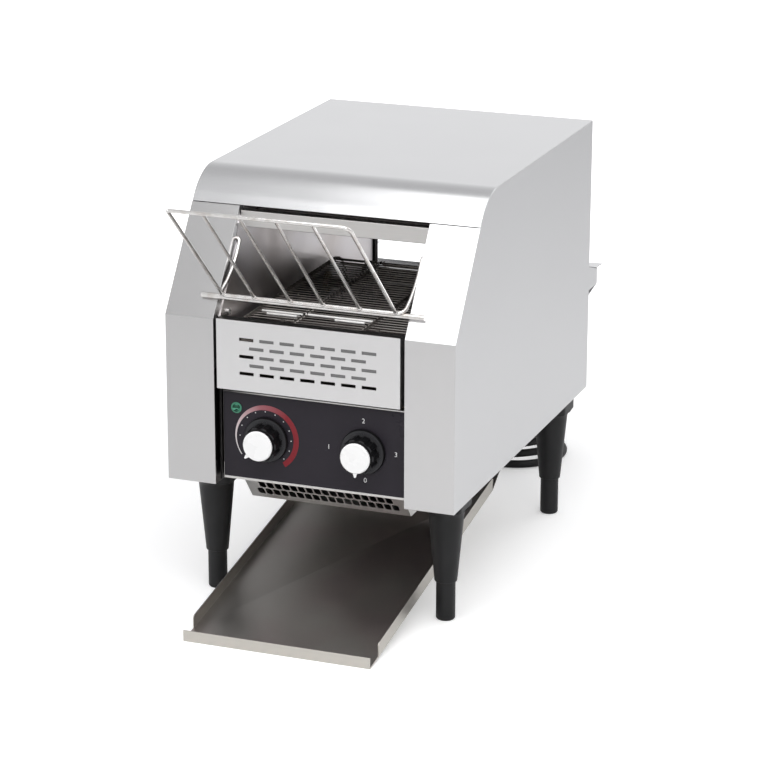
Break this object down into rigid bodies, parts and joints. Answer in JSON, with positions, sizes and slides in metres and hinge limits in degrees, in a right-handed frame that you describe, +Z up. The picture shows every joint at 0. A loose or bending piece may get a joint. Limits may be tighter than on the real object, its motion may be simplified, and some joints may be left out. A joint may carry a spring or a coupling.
{
  "type": "conveyor toaster",
  "caption": "Countertop conveyor toaster with a stainless casing, wire belt, heaters, hinged loading rack, loose collection tray, turning knobs, adjustable legs and a coiled mains lead.",
  "frame": {"origin": "on the table, under the middle of the whole footprint of the toaster without its mains lead", "axes": "+X to the right seen from the front, +Y to the back along the belt, +Z up"},
  "size_m": [0.288, 0.7091, 0.4207],
  "materials": {
    "brushed_casing": "fine vertical brushing, satin",
    "vent_sheet": "fine brushing, lighter face",
    "plain_sheet": "plain cold-rolled sheet",
    "heat_tinted_sheet": "sheet darkened by heat",
    "burnt_sheet": "sheet baked dark brown under the belt",
    "black_panel": "smooth satin black",
    "quartz": "milky quartz tube",
    "ceramic": "unglazed ceramic",
    "dark_belt_wire": "oxidised drawn wire",
    "machined_steel": "turned steel",
    "oiled_chain": "oiled steel",
    "bronze": "oil-filled bronze",
    "motor_casting": "die cast",
    "fan_plastic": "black moulded",
    "white_plastic": "smooth white",
    "blue_plastic": "smooth blue",
    "cream_plastic": "cream moulded",
    "lamp_bezel": "dark bezel",
    "green_lens": "green moulded lens",
    "knob_black": "black moulded with a soft sheen",
    "rack_wire": "bright plated wire",
    "dark_tray_steel": "satin steel that reads dark brown inside",
    "leg_plastic": "black moulded with a soft sheen",
    "cord_rubber": "smooth black rubber",
    "plug_pin_metal": "nickel plated"
  },
  "bodies": {
    "frame": {"side_panel_left": "brushed_casing", "side_panel_right": "brushed_casing", "top_cover": "brushed_casing", "rear_panel": "brushed_casing", "inner_wall_left": "heat_tinted_sheet", "inner_wall_right": "heat_tinted_sheet", "lintel": "plain_sheet", "upper_reflector": "heat_tinted_sheet", "vent_panel": "vent_sheet", "control_box": "plain_sheet", "control_panel": "black_panel", "bottom_pan": "plain_sheet", "deck_plate": "burnt_sheet", "rear_baffle": "burnt_sheet", "tray_rails": "plain_sheet", "upper_heater_tubes": "quartz", "lower_heater_tubes": "quartz", "heater_end_caps": "ceramic", "conveyor_belt": "dark_belt_wire", "shaft_bushes": "bronze", "drive_chain": "oiled_chain", "gear_motor": "motor_casting", "motor_standoffs": "plain_sheet", "fan_frame": "fan_plastic", "terminal_block": "white_plastic", "speed_regulator": "blue_plastic", "selector_switch": "cream_plastic", "indicator_lamp": "lamp_bezel", "indicator_lens": "green_lens", "leg_front_left": "leg_plastic", "leg_front_right": "leg_plastic", "leg_rear_left": "leg_plastic", "leg_rear_right": "leg_plastic", "panel_screws": "machined_steel", "cord_gland": "cord_rubber", "cord_tube": "cord_rubber", "cord_coil": "cord_rubber", "cord_tail": "cord_rubber", "plug_body": "cord_rubber", "plug_pins": "plug_pin_metal"},
    "loading_rack": {"rack_frame": "rack_wire", "rack_guide": "rack_wire", "rack_stop_rod": "rack_wire"},
    "colour_knob": {"colour_knob": "knob_black", "colour_knob_cap": "white_plastic"},
    "selector_knob": {"selector_knob": "knob_black", "selector_knob_cap": "white_plastic"},
    "drive_shaft": {"drive_shaft": "machined_steel", "drive_sprockets": "machined_steel", "driven_chain_wheel": "machined_steel"},
    "idler_shaft": {"idler_shaft": "machined_steel", "idler_sprockets": "machined_steel"},
    "motor_shaft": {"motor_chain_wheel": "machined_steel"},
    "fan_rotor": {"fan_rotor": "fan_plastic"},
    "collection_tray": {"collection_tray": "dark_tray_steel"},
    "rear_hood": {"rear_hood": "brushed_casing"},
    "foot_front_left": {"foot_front_left": "leg_plastic"},
    "foot_front_right": {"foot_front_right": "leg_plastic"},
    "foot_rear_left": {"foot_rear_left": "leg_plastic"},
    "foot_rear_right": {"foot_rear_right": "leg_plastic"}
  },
  "joints": [
    {"name": "rack_hinge", "type": "hinge", "parent": "frame", "child": "loading_rack", "pos_m": [0, -0.139, 0.352], "axis": [-1, 0, 0], "range_deg": [0, 130]},
    {"name": "colour_knob_turn", "type": "hinge", "parent": "frame", "child": "colour_knob", "pos_m": [-0.0465, -0.186, 0.1728], "axis": [0, 1, 0], "range_deg": [0, 270]},
    {"name": "selector_knob_turn", "type": "hinge", "parent": "frame", "child": "selector_knob", "pos_m": [0.051, -0.186, 0.1728], "axis": [0, 1, 0], "range_deg": [0, 270]},
    {"name": "drive_shaft_spin", "type": "hinge", "parent": "frame", "child": "drive_shaft", "pos_m": [0, -0.144, 0.25174], "axis": [-1, 0, 0], "continuous": true, "deforming": ["conveyor_belt", "drive_chain"]},
    {"name": "idler_shaft_spin", "type": "hinge", "parent": "frame", "child": "idler_shaft", "pos_m": [0, 0.0846, 0.25174], "axis": [-1, 0, 0], "continuous": true},
    {"name": "motor_shaft_spin", "type": "hinge", "parent": "frame", "child": "motor_shaft", "pos_m": [0.105, -0.08759, 0.16812], "axis": [-1, 0, 0], "continuous": true},
    {"name": "fan_spin", "type": "hinge", "parent": "frame", "child": "fan_rotor", "pos_m": [-0.035, -0.031, 0.098], "axis": [0, 0, 1], "continuous": true},
    {"name": "tray_slide", "type": "slide", "parent": "frame", "child": "collection_tray", "axis": [0, -1, 0], "range_m": [0, 0.085]},
    {"name": "hood_lift", "type": "slide", "parent": "frame", "child": "rear_hood", "axis": [0, 0, 1], "range_m": [0, 0.012]},
    {"name": "foot_front_left_height", "type": "slide", "parent": "frame", "child": "foot_front_left", "axis": [0, 0, 1], "range_m": [0, 0.023]},
    {"name": "foot_front_right_height", "type": "slide", "parent": "frame", "child": "foot_front_right", "axis": [0, 0, 1], "range_m": [0, 0.023]},
    {"name": "foot_rear_left_height", "type": "slide", "parent": "frame", "child": "foot_rear_left", "axis": [0, 0, 1], "range_m": [0, 0.023]},
    {"name": "foot_rear_right_height", "type": "slide", "parent": "frame", "child": "foot_rear_right", "axis": [0, 0, 1], "range_m": [0, 0.023]}
  ],
  "couplings": [
    {"joint": "idler_shaft_spin", "follows": "drive_shaft_spin", "ratio": 1},
    {"joint": "motor_shaft_spin", "follows": "drive_shaft_spin", "ratio": 2}
  ]
}
